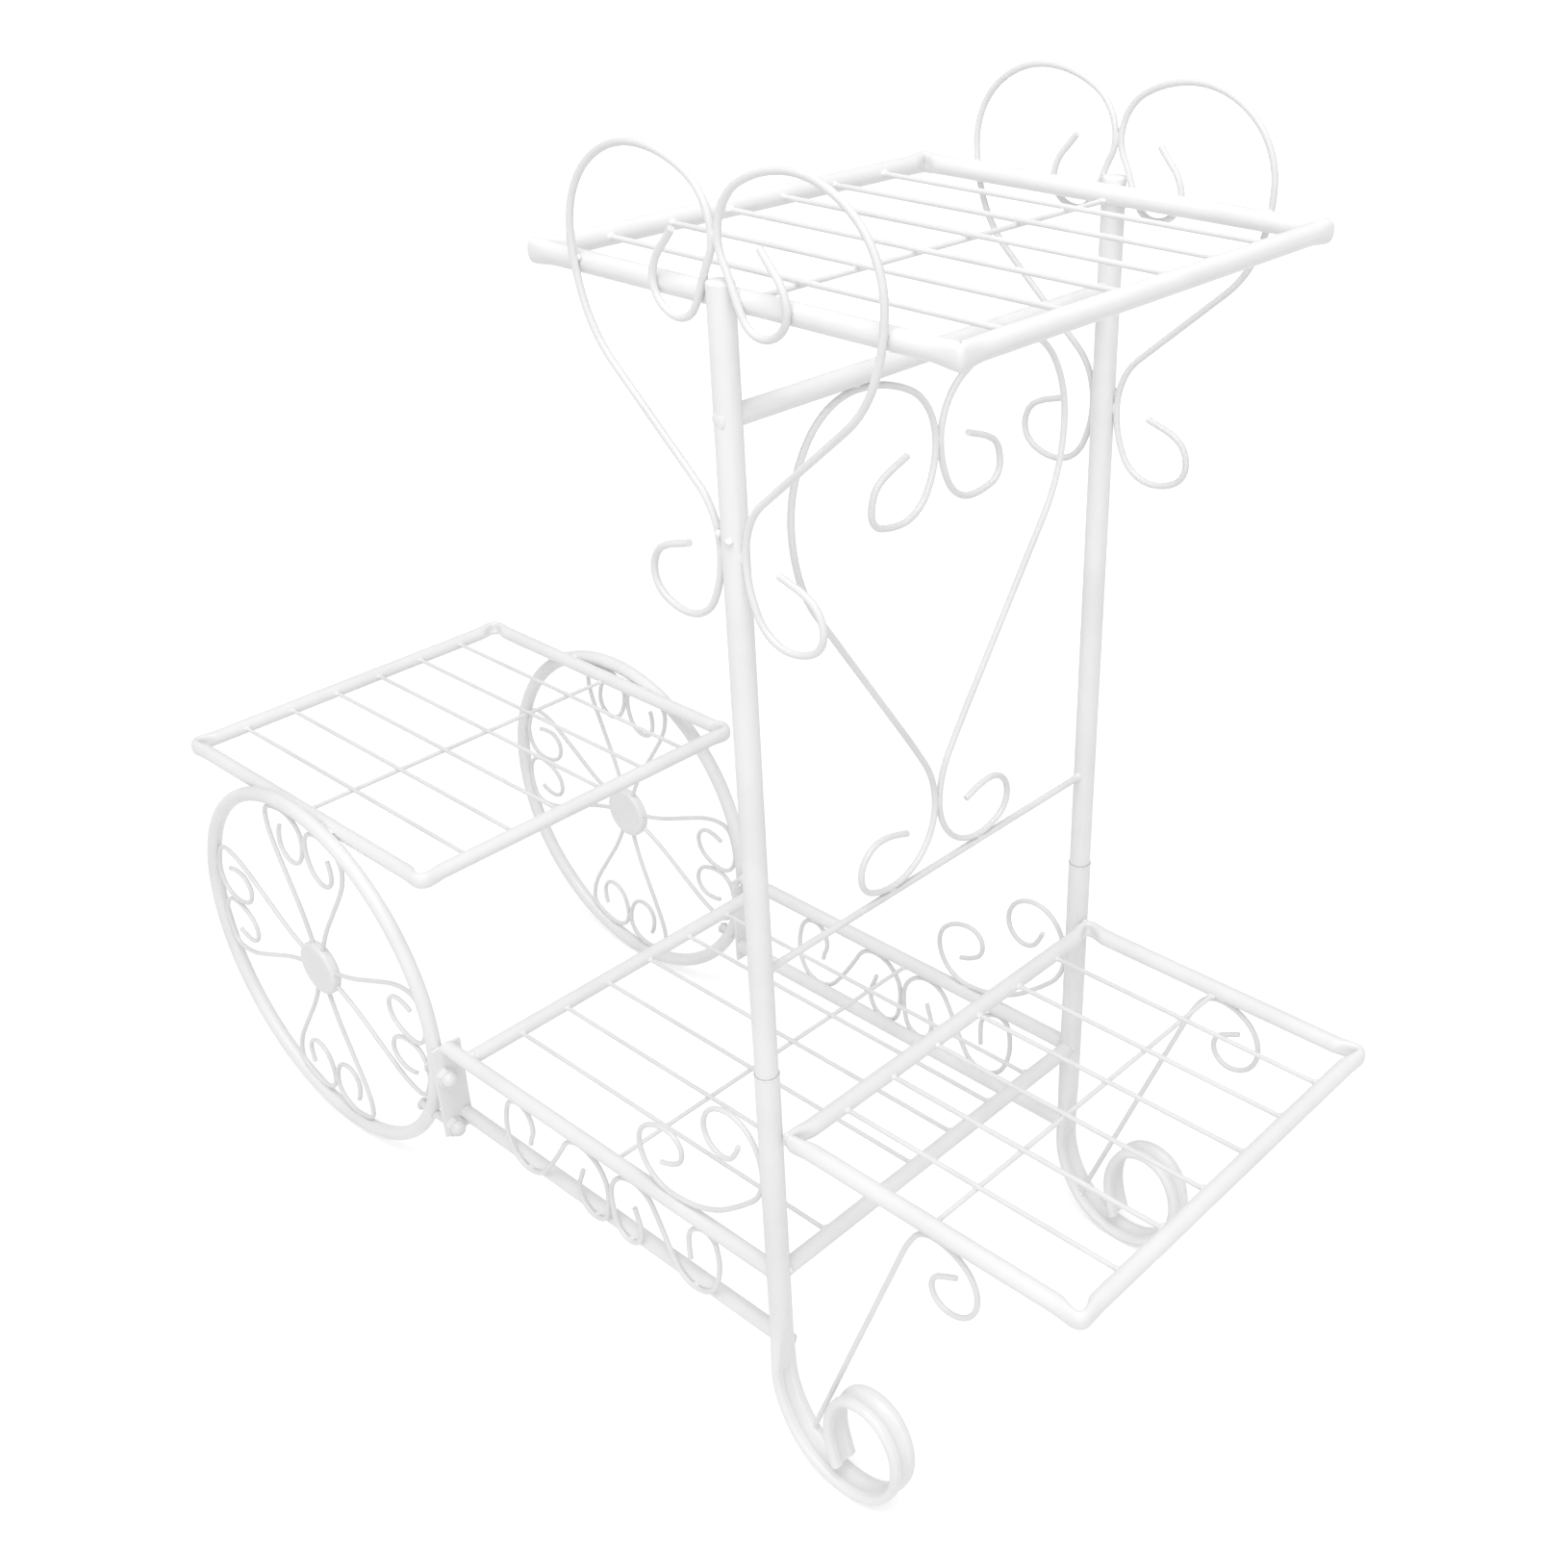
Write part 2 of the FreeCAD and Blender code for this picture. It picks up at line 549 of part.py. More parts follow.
def side_heart_points():
    """Half of a side heart as (along, up) from the post's axis. It lies on
    the outer face of the top shelf's rail and is welded to the post's flank."""
    wire = size("heart_wire_d") / 2
    low = size("top_height") - size("side_heart_drop")
    tall = size("side_heart_height")
    wide = size("side_heart_half")
    middle = wire + size("touch_gap")
    flank = math.sqrt((size("post_d") / 2 + wire) ** 2 - wire ** 2) + size("touch_gap")
    post_top = size("top_height") + size("rail_d") / 2 + size("post_rise")
    long_side = math.degrees(math.atan2(-0.21 * tall, -0.54 * wide))
    return [
        (0.28 * wide, low + 0.847 * tall, -50),
        (0.43 * wide, low + 0.75 * tall, -78),
        (0.27 * wide, low + 0.67 * tall, 180),
        (flank + 0.6, post_top, 110),
        (middle, low + 0.85 * tall, 90),
        (0.49 * wide, low + tall, 0),
        (wide, low + 0.79 * tall, -90),
        (0.76 * wide, low + 0.53 * tall, long_side),
        (0.22 * wide, low + 0.32 * tall, long_side),
        (flank, low + 0.18 * tall, -90),
        (0.36 * wide, low, 0),
        (0.59 * wide, low + 0.075 * tall, 90),
        (0.51 * wide, low + 0.14 * tall, 150),
        (0.31 * wide, low + 0.172 * tall, 162),
    ]


def rear_scroll_points(low, high):
    """S-scroll in the rear half of the bed side, (along, up)."""
    tall = high - low
    back = -size("bed_back")
    return [
        (0.79 * back, low + 0.45 * tall, 80),
        (0.775 * back, low + 0.75 * tall, 95),
        (0.815 * back, high, 180),
        (0.875 * back, low + 0.45 * tall, -90),
        (0.81 * back, low, 0),
        (0.705 * back, low + 0.47 * tall, 56),
        (0.605 * back, high, 0),
        (0.524 * back, low + 0.55 * tall, -90),
        (0.578 * back, low, 180),
        (0.625 * back, low + 0.25 * tall, 95),
        (0.604 * back, low + 0.63 * tall, 70),
    ]


def front_scroll_points(low, high):
    """S-scroll in the front half of the bed side, turned the other way."""
    tall = high - low
    back = -size("bed_back")
    return [
        (0.436 * back, low + 0.6 * tall, -75),
        (0.422 * back, low + 0.25 * tall, -95),
        (0.464 * back, low, 180),
        (0.513 * back, low + 0.53 * tall, 90),
        (0.43 * back, high, 0),
        (0.342 * back, low + 0.47 * tall, -66),
        (0.26 * back, low, 0),
        (0.175 * back, low + 0.65 * tall, 90),
        (0.21 * back, high, 180),
        (0.265 * back, low + 0.72 * tall, -95),
        (0.265 * back, low + 0.42 * tall, -88),
    ]


def corner_scroll_points():
    """C-scroll in the corner between the bed rail and the back of the leg."""
    wire = size("scroll_wire_d") / 2
    on_rail = size("bed_height") + size("rail_d") / 2 + wire
    on_leg = -(size("leg_d") / 2 + wire)
    back = -size("bed_back")
    curl = size("corner_curl")
    touch = on_rail + size("corner_contact")
    crown = size("corner_crown")
    return [
        (0.33 * back, on_rail + 0.42 * curl, 15),
        (0.264 * back, on_rail + 0.79 * curl, 95),
        (0.305 * back, on_rail + curl, 180),
        (0.396 * back, on_rail + 0.52 * curl, -88),
        (0.31 * back, on_rail, 0),
        (0.14 * back, on_rail + 0.28 * size("corner_contact"), 38),
        (on_leg, touch, 90),
        (on_leg - 0.8 * crown, touch + crown, 180),
        (on_leg - 1.48 * crown, touch + 0.35 * crown, -90),
        (on_leg - 1.03 * crown, touch - 0.13 * crown, 0),
        (on_leg - 0.58 * crown, touch + 0.35 * crown, 70),
    ]


def brace_points():
    """Brace from the foot scroll up to the underside of the front shelf."""
    wire = size("scroll_wire_d") / 2
    curl = size("brace_curl")
    under = size("front_height") - size("rail_d") / 2 - wire
    slope = 69
    start = (0.17 * size("foot_reach"), 0.14 * size("foot_reach"))
    bend = under - 0.53 * curl
    knee = start[0] + (bend - start[1]) / math.tan(math.radians(slope))
    return [
        (start[0], start[1], slope),
        (knee, bend, slope),
        (knee + 0.49 * curl, under, 0),
        (knee + 1.11 * curl, under - 0.56 * curl, -90),
        (knee + 0.71 * curl, under - curl, 180),
        (knee + 0.44 * curl, under - 0.73 * curl, 90),
        (knee + 0.8 * curl, under - 0.4 * curl, 25),
    ]


def mirrored(points):
    """The same outline on the other side of its middle line."""
    return [(-a, b, 180 - heading) for a, b, heading in points]


def build_hearts():
    wire = size("heart_wire_d")
    outline = centre_heart_points()
    for side_name, points in (("left", mirrored(outline)), ("right", outline)):
        shaped_part(f"centre_heart_{side_name}", in_cross_plane(bent_wire(points, wire), 0))
    outline = side_heart_points()
    for side_name, sign in SIDES:
        side = sign * (size("post_side") + wire / 2)
        for end_name, points in (("front", outline), ("rear", mirrored(outline))):
            shape = in_length_plane(bent_wire(points, wire), side)
            shaped_part(f"side_heart_{side_name}_{end_name}", shape)


def build_scrolls():
    wire = size("scroll_wire_d")
    low = size("lower_height") - 1
    high = size("bed_height") - size("rail_d") / 2 - wire / 2
    outlines = (
        ("rear_scroll", rear_scroll_points(low, high)),
        ("front_scroll", front_scroll_points(low, high)),
        ("corner_scroll", corner_scroll_points()),
    )
    for side_name, sign in SIDES:
        side = sign * size("post_side")
        for name, points in outlines:
            shaped_part(f"{name}_{side_name}", in_length_plane(bent_wire(points, wire), side))


def build_braces(legs):
    for (side_name, sign), leg in zip(SIDES, legs):
        side = sign * (size("post_side") - size("rail_d") / 2)
        shape = in_length_plane(bent_wire(brace_points(), size("scroll_wire_d")), side)
        upper = max(shape.cut(leg.Shape).Solids, key=lambda piece: piece.Volume)
        shaped_part(f"brace_{side_name}", upper)


# -------------------------------------------------------------------- wheels

def spoke_points():
    """Half of a lyre shaped spoke as (outward from the hub, sideways)."""
    wire = size("scroll_wire_d") / 2
    hub = size("hub_d") / 2
    reach = size("spoke_reach")
    inside = size("rim_radius") - size("rim_d") / 2 - wire
    crown = 11.6
    crown_u = inside * math.cos(math.radians(crown))
    crown_v = inside * math.sin(math.radians(crown))
    middle = wire + size("touch_gap")
    start_v = 0.3 * hub
    start_u = math.sqrt(hub ** 2 - start_v ** 2)
    return [
        (start_u, start_v, 18),
        (0.66 * inside, 0.83 * reach, 28),
        (0.87 * inside, reach, 0),
        (crown_u, crown_v, crown - 90),
        (0.85 * inside, middle, 180),
        (0.66 * inside, 0.42 * reach, 90),
        (0.76 * inside, 0.68 * reach, 0),
        (0.86 * inside, 0.62 * reach, -25),
    ]


def hub_body(label):
    """Turned disc with rounded edges and a shallow dish in each face."""
    body = doc.addObject("PartDesign::Body", label + "_body")
    sketch = body.newObject("Sketcher::SketchObject", label + "_section")
    plane = [item for item in body.Origin.OriginFeatures if item.Role == "XZ_Plane"][0]
    sketch.AttachmentSupport = [(plane, "")]
    sketch.MapMode = "FlatFace"
    radius = size("hub_d") / 2
    half = size("hub_width") / 2
    corners = [Vector(0, -half, 0), Vector(radius, -half, 0), Vector(radius, half, 0), Vector(0, half, 0)]
    for start, end in zip(corners, corners[1:] + corners[:1]):
        sketch.addGeometry(Part.LineSegment(start, end), False)
    # Sketch elements: 0 lower face, 1 edge, 2 upper face, 3 axis.
    for first, second in ((0, 1), (1, 2), (2, 3), (3, 0)):
        sketch.addConstraint(Sketcher.Constraint("Coincident", first, 2, second, 1))
    sketch.addConstraint(Sketcher.Constraint("Horizontal", 0))
    sketch.addConstraint(Sketcher.Constraint("Horizontal", 2))
    sketch.addConstraint(Sketcher.Constraint("Vertical", 1))
    sketch.addConstraint(Sketcher.Constraint("PointOnObject", 3, 1, -2))
    width = sketch.addConstraint(Sketcher.Constraint("DistanceX", 0, 1, 0, 2, radius))
    height = sketch.addConstraint(Sketcher.Constraint("DistanceY", 1, 1, 1, 2, 2 * half))
    sketch.addConstraint(Sketcher.Constraint("Symmetric", 3, 1, 3, 2, -1, 1))
    sketch.setExpression(f"Constraints[{width}]", formula("hub_d / 2"))
    sketch.setExpression(f"Constraints[{height}]", formula("hub_width"))
    turned = body.newObject("PartDesign::Revolution", label + "_turned")
    turned.Profile = sketch
    turned.ReferenceAxis = (sketch, ["V_Axis"])
    turned.Angle = 360
    doc.recompute()
    rims = [f"Edge{index}" for index, edge in enumerate(turned.Shape.Edges, 1)
            if edge.Curve.TypeId == "Part::GeomCircle" and edge.Curve.Radius > 0.9 * radius]
    rounded = body.newObject("PartDesign::Fillet", label + "_rounded")
    rounded.Base = (turned, rims)
    bind(rounded, Radius="hub_round")
    body.Tip = rounded
    return body


def bolt_rim_x(height):
    """Rim centre line in front of the wheel axis, at a height."""
    return f"(sqrt(rim_radius ^ 2 - ({HUB_HEIGHT} - {height}) ^ 2) - hub_back)"


def build_wheels():
    for side_name, sign in SIDES:
        side = f"{sign} * {WHEEL_SIDE}"
        ring = doc.addObject("Part::Torus", f"rim_{side_name}_ring")
        bind(ring, Radius1="rim_radius", Radius2="rim_d / 2")
        place(ring, x="-hub_back", y=side, z=HUB_HEIGHT, turn=TURN_TO_Y)
        holes = [cylinder(f"rim_{side_name}_hole_{name}", "bolt_d + 2 * bolt_clearance", "4 * rim_d",
                          x=f"{bolt_rim_x(name)} - 2 * rim_d", y=side, z=name, turn=TURN_TO_X)
                 for name in ("bolt_high", "bolt_low")]
        rim = cut(f"rim_{side_name}_body", ring, fuse(f"rim_{side_name}_holes", *holes))
        sub_part(rim, f"wheel_rim_{side_name}")

        hub = hub_body(f"wheel_hub_{side_name}")
        place(hub, y=side, z=HUB_HEIGHT, turn=TURN_TO_Y)
        sub_part(hub, f"wheel_hub_{side_name}", x="-hub_back")

        side_value = sign * (size("post_side") + size("rim_d") / 2)
        centre = Vector(-size("hub_back"), side_value, size("rim_radius") + size("rim_d") / 2)
        halves = [bent_wire(points, size("scroll_wire_d"))
                  for points in (spoke_points(), [(a, -b, -turn) for a, b, turn in spoke_points()])]
        for index in range(4):
            angle = size("spoke_turn") + 90 * index
            pair = []
            for half in halves:
                turned = half.copy()
                turned.rotate(Vector(), Vector(0, 0, 1), angle)
                turned.rotate(Vector(), Vector(1, 0, 0), 90)
                turned.translate(centre)
                pair.append(turned)
            shaped_part(f"wheel_spoke_{side_name}_{index + 1}", *pair)


def hexagon(name, across, height, x, y, z):
    """Six sided block along X, given across its flats."""
    block = doc.addObject("Part::Prism", name)
    block.Polygon = 6
    bind(block, Circumradius=f"{across} / sqrt(3)", Height=height)
    return place(block, x, y, z, TURN_TO_X)


def build_brackets():
    bolts = []
    nuts = []
    for side_name, sign in SIDES:
        inner = f"{sign} * plate_inner"
        near_y = f"{inner} - plate_width" if sign < 0 else inner
        plate = box(f"plate_{side_name}", "plate_thick", "plate_width", "plate_top - plate_bottom",
                    x=PLATE_X, y=near_y, z="plate_bottom")
        side = f"{sign} * {WHEEL_SIDE}"
        holes = []
        for height in ("bolt_high", "bolt_low"):
            name = f"{height}_{side_name}"
            holes.append(cylinder(f"plate_hole_{name}", "bolt_d + 2 * bolt_clearance", "4 * plate_thick",
                                  x=f"{PLATE_X} - plate_thick", y=side, z=height, turn=TURN_TO_X))
            # The head bears on the inner side of the rim tube, which slopes
            # away from the bolt below the wheel's axis.
            ahead = f"({bolt_rim_x(height)} + hub_back)"
            slope = f"(({HUB_HEIGHT} - {height}) / {ahead})"
            seat = f"({bolt_rim_x(height)} - rim_d / 2 * rim_radius / {ahead} - head_across * 0.6 * {slope})"
            nut_x = f"({PLATE_X} + plate_thick)"
            head = hexagon(f"bolt_head_{name}", "head_across", "head_height",
                           f"{seat} - head_height", side, height)
            shank = cylinder(f"bolt_shank_{name}", "bolt_d", f"{nut_x} + nut_height - {seat}",
                             x=seat, y=side, z=height, turn=TURN_TO_X)
            bolts.append(fuse(f"bolt_{name}", head, shank))
            six = hexagon(f"nut_six_{name}", "nut_across", "nut_height", nut_x, side, height)
            crown = doc.addObject("Part::Sphere", f"nut_crown_{name}")
            bind(crown, Radius="0.46 * nut_across")
            place(crown, x=f"{nut_x} + nut_height", y=side, z=height)
            upper = cylinder(f"nut_room_{name}", "nut_across", "nut_across", x=f"{nut_x} + nut_height / 2",
                             y=side, z=height, turn=TURN_TO_X)
            dome = doc.addObject("Part::Common", f"nut_dome_{name}")
            dome.Base = crown
            dome.Tool = upper
            thread = cylinder(f"nut_thread_{name}", "bolt_d", "nut_height", x=nut_x, y=side,
                              z=height, turn=TURN_TO_X)
            nuts.append(cut(f"nut_{name}", fuse(f"nut_blank_{name}", six, dome), thread))
        bracket = cut(f"bracket_{side_name}_body", plate, fuse(f"plate_holes_{side_name}", *holes))
        sub_part(bracket, f"wheel_bracket_{side_name}")
    sub_part(group("bracket_bolts_group", bolts), "bracket_bolts")
    sub_part(group("cap_nuts_group", nuts), "cap_nuts")


# ----------------------------------------------------------------- assembly

legs = []
for side_name, sign in SIDES:
    build_post(side_name, sign)
    legs.append(build_leg(side_name, sign))
build_shelves()
build_bed()
build_cross_members()
build_hearts()
build_scrolls()
build_braces(legs)
build_wheels()
build_brackets()
doc.recompute()

for obj in doc.Objects:
    if "Invalid" in obj.State or "Error" in obj.State:
        raise RuntimeError(f"{obj.Name} failed: {obj.State}")
for obj in PARTS:
    if obj.Shape.isNull() or not obj.Shape.isValid() or not obj.Shape.Solids:
        raise RuntimeError(f"{obj.Label} has no valid solid")

os.makedirs("parts", exist_ok=True)
for obj in PARTS:
    obj.Shape.exportStep(f"parts/{obj.Label}.step")
    bounds = obj.Shape.BoundBox
    print(f"{obj.Label:28s} solids {len(obj.Shape.Solids)} volume {obj.Shape.Volume:9.0f}"
          f" x {bounds.XMin:7.1f}..{bounds.XMax:7.1f} y {bounds.YMin:7.1f}..{bounds.YMax:7.1f}"
          f" z {bounds.ZMin:6.1f}..{bounds.ZMax:6.1f}")
print(f"{len(PARTS)} sub-parts")
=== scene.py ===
# %% [markdown]
# # A white flower cart stand
#
# The real object is a plant stand bent and welded from thin steel tube and
# wire, then powder coated white. The frame file already holds every piece at
# its real size: this lesson gives the pieces their finish, models the crushed
# tube corners and the weld beads that a plain sweep cannot show, and sets the
# light and the camera. All lengths are in metres.

# %% Load the frame
import math
import random

import bmesh
import bpy
from mathutils import Matrix, Vector


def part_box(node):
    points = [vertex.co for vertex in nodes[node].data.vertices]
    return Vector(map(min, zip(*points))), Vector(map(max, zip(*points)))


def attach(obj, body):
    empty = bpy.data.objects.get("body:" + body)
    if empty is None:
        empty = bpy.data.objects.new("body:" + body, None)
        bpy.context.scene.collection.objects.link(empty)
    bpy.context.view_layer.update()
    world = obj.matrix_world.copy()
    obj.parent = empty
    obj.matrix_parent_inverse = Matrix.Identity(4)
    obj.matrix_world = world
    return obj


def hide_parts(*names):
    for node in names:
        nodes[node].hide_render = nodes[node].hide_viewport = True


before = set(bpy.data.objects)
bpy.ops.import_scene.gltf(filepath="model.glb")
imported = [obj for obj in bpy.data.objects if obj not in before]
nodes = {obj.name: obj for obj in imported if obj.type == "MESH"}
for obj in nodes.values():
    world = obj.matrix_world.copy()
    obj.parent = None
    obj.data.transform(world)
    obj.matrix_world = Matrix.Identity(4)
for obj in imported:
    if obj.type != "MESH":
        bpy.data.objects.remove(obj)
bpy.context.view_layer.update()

MM = 0.001
print("pieces in the frame:", len(nodes))

# %% [markdown]
# ## Colours and nodes
#
# Colours are written the way a paint chart gives them, as sRGB hex. Blender
# shades in linear light, so one function turns a hex value into linear red,
# green and blue. Typing the hex value straight into a socket would look too
# pale.

# %% sRGB hex to linear
def linear(hex_colour):
    channels = [int(hex_colour[i:i + 2], 16) / 255 for i in (1, 3, 5)]
    bent = [c / 12.92 if c <= 0.04045 else ((c + 0.055) / 1.055) ** 2.4 for c in channels]
    return (*bent, 1.0)


COAT_WHITE = "#F2F2F2"
COAT_SHADE = "#ECECEC"
COAT_DUST = "#E0E0E0"
# Painted shade: the wires' white, drawn darker than the tubes' though the coat is the same.
WIRE_PAINTED_SHADE = "#E4E4E4"
# Painted shadow: the grey of the shaded gap where post meets leg.
SEAM_SHADOW_GREY = "#BDBDBC"
ZINC = "#E4E4E3"
print("coat white, linear:", [round(c, 3) for c in linear(COAT_WHITE)])

# %% [markdown]
# A material is a tree of nodes. Writing each node by hand takes three or four
# lines, so one helper makes a node, fills in its settings and links its
# inputs. A tuple of (node, output name) is a link; anything else is a value.

# %% One helper for every node
def add_node(owner, kind, settings=None, **inputs):
    """Add a node to a material or a world. Base_Color names the socket "Base
    Color", and i6 is socket number 6, for nodes whose sockets share a name."""
    node = owner.node_tree.nodes.new(kind)
    for name, value in (settings or {}).items():
        setattr(node, name, value)
    for name, value in inputs.items():
        numbered = name[0] == "i" and name[1:].isdigit()
        socket = node.inputs[int(name[1:]) if numbered else name.replace("_", " ")]
        if isinstance(value, tuple) and isinstance(value[0], bpy.types.Node):
            owner.node_tree.links.new(value[0].outputs[value[1]], socket)
        else:
            socket.default_value = value
    return node


def new_material(name):
    material = bpy.data.materials.new(name)
    material.use_nodes = True
    material.node_tree.nodes.clear()
    return material


print("materials so far:", len(bpy.data.materials))

# %% [markdown]
# ## Powder-coated steel
#
# Powder coat is a polyester paint that is sprayed on dry and melted in an
# oven. It flows a little as it melts, so it is satin rather than glossy and
# keeps a faint orange peel: soft dimples 1 to 2 mm across. It runs thinner on
# sharp edges and gathers where pieces meet. Polyester has an IOR of about 1.5
# and no metallic look, because the coat hides the steel.
#
# The orange peel could be a displaced mesh, but dimples this shallow only
# show in the highlights, so a bump from noise in object space is enough. Two
# broader noises tint the white a little, as handling and dust do.

# %% Powder coat material
PEEL_SIZE = 1.6 * MM
GRAIN_SIZE = 0.35 * MM
SPECK_SIZE = 4 * MM
CLOUD_SIZE = 60 * MM
POLYESTER_IOR = 1.5


def powder_coat(name, white, shade, peel_height, roughness):
    material = new_material(name)
    place = add_node(material, "ShaderNodeTexCoord")
    # Handling: broad patches of the darker white.
    cloud = add_node(material, "ShaderNodeTexNoise", Vector=(place, "Object"),
                     Scale=1 / CLOUD_SIZE, Detail=3.0, Roughness=0.55)
    patches = add_node(material, "ShaderNodeMapRange", Value=(cloud, "Fac"),
                       From_Min=0.42, From_Max=0.68)
    # Dust: small and rare specks.
    speck = add_node(material, "ShaderNodeTexNoise", Vector=(place, "Object"),
                     Scale=1 / SPECK_SIZE, Detail=5.0, Roughness=0.7)
    dusty = add_node(material, "ShaderNodeMapRange", Value=(speck, "Fac"),
                     From_Min=0.66, From_Max=0.78, To_Max=0.35)
    tinted = add_node(material, "ShaderNodeMix", {"data_type": "RGBA"}, Factor=(patches, "Result"),
                      i6=linear(white), i7=linear(shade))
    dusted = add_node(material, "ShaderNodeMix", {"data_type": "RGBA"}, Factor=(dusty, "Result"),
                      i6=(tinted, 2), i7=linear(COAT_DUST))
    # Orange peel, with a finer grain on top of it.
    peel = add_node(material, "ShaderNodeTexNoise", Vector=(place, "Object"),
                    Scale=1 / PEEL_SIZE, Detail=1.5, Roughness=0.4)
    grain = add_node(material, "ShaderNodeTexNoise", Vector=(place, "Object"),
                     Scale=1 / GRAIN_SIZE, Detail=1.0)
    soft = add_node(material, "ShaderNodeBump", Height=(peel, "Fac"), Strength=0.35,
                    Distance=peel_height)
    fine = add_node(material, "ShaderNodeBump", Height=(grain, "Fac"), Strength=0.12,
                    Distance=peel_height / 4, Normal=(soft, "Normal"))
    gloss = add_node(material, "ShaderNodeMapRange", Value=(cloud, "Fac"),
                     From_Min=0.3, From_Max=0.7,
                     To_Min=roughness - 0.05, To_Max=roughness + 0.07)
    coat = add_node(material, "ShaderNodeBsdfPrincipled", Base_Color=(dusted, 2),
                    Roughness=(gloss, "Result"), IOR=POLYESTER_IOR, Normal=(fine, "Normal"))
    add_node(material, "ShaderNodeOutputMaterial", Surface=(coat, "BSDF"))
    return material


coated_tube = powder_coat("powder_coated_tube", COAT_WHITE, COAT_SHADE, 0.05 * MM, 0.34)
# On thin wire the melted powder pulls into a smooth, slightly glossier skin.
# Thin white wires would be lost against the white ground, so their white is painted one step darker
# than the tubes': painted shade that stands in for the grey their thin edges show, on the same
# white coat.
coated_wire = powder_coat("powder_coated_wire", COAT_SHADE, WIRE_PAINTED_SHADE, 0.004 * MM, 0.32)
# Weld beads hold more powder in their ripples, so they look duller.
coated_weld = powder_coat("powder_coated_weld", COAT_WHITE, COAT_SHADE, 0.10 * MM, 0.42)
print("powder coats:", coated_tube.name, coated_wire.name, coated_weld.name)

# %% [markdown]
# ## Zinc-plated bolts and nuts
#
# The fasteners are bought parts: steel, plated with a few micrometres of zinc
# and tumbled. Zinc is a pale, slightly blue grey metal with a soft gloss and
# small tumbling marks. As a metal it keeps the default IOR and takes its
# whole colour from its base colour.

# %% Zinc plate material
TUMBLING_MARK = 0.8 * MM


def zinc_plate(name):
    material = new_material(name)
    place = add_node(material, "ShaderNodeTexCoord")
    marks = add_node(material, "ShaderNodeTexNoise", Vector=(place, "Object"),
                     Scale=1 / TUMBLING_MARK, Detail=4.0)
    dull = add_node(material, "ShaderNodeMapRange", Value=(marks, "Fac"),
                    From_Min=0.3, From_Max=0.7, To_Min=0.22, To_Max=0.42)
    bump = add_node(material, "ShaderNodeBump", Height=(marks, "Fac"), Strength=0.15,
                    Distance=0.03 * MM)
    metal = add_node(material, "ShaderNodeBsdfPrincipled", Base_Color=linear(ZINC),
                     Metallic=1.0, Roughness=(dull, "Result"), Normal=(bump, "Normal"))
    add_node(material, "ShaderNodeOutputMaterial", Surface=(metal, "BSDF"))
    return material


zinc = zinc_plate("zinc_plated_steel")
# The bolts, cap nuts and screw heads that show are sprayed white over the zinc.
coated_nut = powder_coat("white_lacquered_zinc", COAT_SHADE, COAT_DUST, 0.05 * MM, 0.24)
print("fastener finishes:", zinc.name, coated_nut.name)

# %% [markdown]
# ## Giving the pieces their finish
#
# Every node of the frame already has a material slot. Filling the slot with a
# new material keeps the mesh and its place untouched. Tube, wire and
# fasteners are told apart by the names of the pieces.

# %% Fill the slots
WIRE_WORDS = ("wire", "heart", "scroll", "spoke", "brace", "rod")


def finish_for(name):
    if name == "bar_plugs":
        return zinc
    if name in ("cap_nuts", "bracket_bolts", "bar_screws"):
        return coated_nut
    if any(word in name for word in WIRE_WORDS):
        return coated_wire
    return coated_tube


for name, piece in nodes.items():
    if not piece.material_slots:
        piece.data.materials.append(None)
    for slot in piece.material_slots:
        slot.material = finish_for(name)
print("finished", len(nodes), "pieces")

# %% [markdown]
# ## Crushed corners
#
# The shelf frames are bent cold round a small former without filling the
# tube. At each corner the inside wall has nowhere to go: it folds in, and the
# tube becomes narrow, tall and almost sharp. A pipe swept round an arc would
# stay round, so the frame is lofted instead: rings of points follow the
# rectangle, and each ring's width, height and inner dent depend on how near
# it is to a corner.
#
# The ring is placed from the outside edge, because the outer wall keeps its
# line while the inner wall is crushed against it.

# %% How far a corner is crushed
TUBE = 10 * MM
RING_POINTS = 28
# For each shelf: radius of the outside edge, crushed width and height, and
# the length over which the tube is squeezed.
CORNERS = {
    "top_shelf_frame": (3.0 * MM, 7.0 * MM, 11.6 * MM, 15 * MM),
    "rear_shelf_frame": (9.0 * MM, 6.8 * MM, 10.8 * MM, 12 * MM),
    "front_shelf_frame": (7.0 * MM, 6.4 * MM, 11.0 * MM, 13 * MM),
}
DENT_DEPTH = 0.22  # of the tube's width
WALL_SQUARENESS = 0.16


def ease(amount):
    amount = max(0.0, min(1.0, amount))
    return amount * amount * (3 - 2 * amount)


def crushed_ring(outer_point, inward, crush, crushed_width, crushed_height):
    """One ring of the tube. crush runs from 0, round, to 1, at the corner."""
    width = TUBE + (crushed_width - TUBE) * crush
    height = TUBE + (crushed_height - TUBE) * crush
    centre = outer_point + inward * (width / 2)
    ring = []
    for k in range(RING_POINTS):
        angle = 2 * math.pi * k / RING_POINTS
        across, up = math.cos(angle), math.sin(angle)
        # The inner wall buckles into a crease, deepest halfway up.
        dent = DENT_DEPTH * crush * width * max(0.0, across) ** 2 * (1 - abs(up)) ** 0.5
        # A crushed wall is flatter than an ellipse: it bulges less at its side.
        squared = across * (1 + WALL_SQUARENESS * crush * up * up)
        lift = Vector((0, 0, up * height / 2))
        ring.append(centre + inward * (squared * width / 2 - dent) + lift)
    return ring


for shelf, (_, crushed_width, crushed_height, _) in CORNERS.items():
    print(shelf, "corner:", round(crushed_width / MM, 1), "by", round(crushed_height / MM, 1), "mm")

# %% [markdown]
# The rings go once round the frame, side by side and corner by corner. They
# stand close together only where the tube changes: between the squeezed ends of
# a side one ring in the middle is enough, because a loft is straight there.

# %% Rings round a shelf frame
SQUEEZE_STEPS = 12
CORNER_STEPS = 10


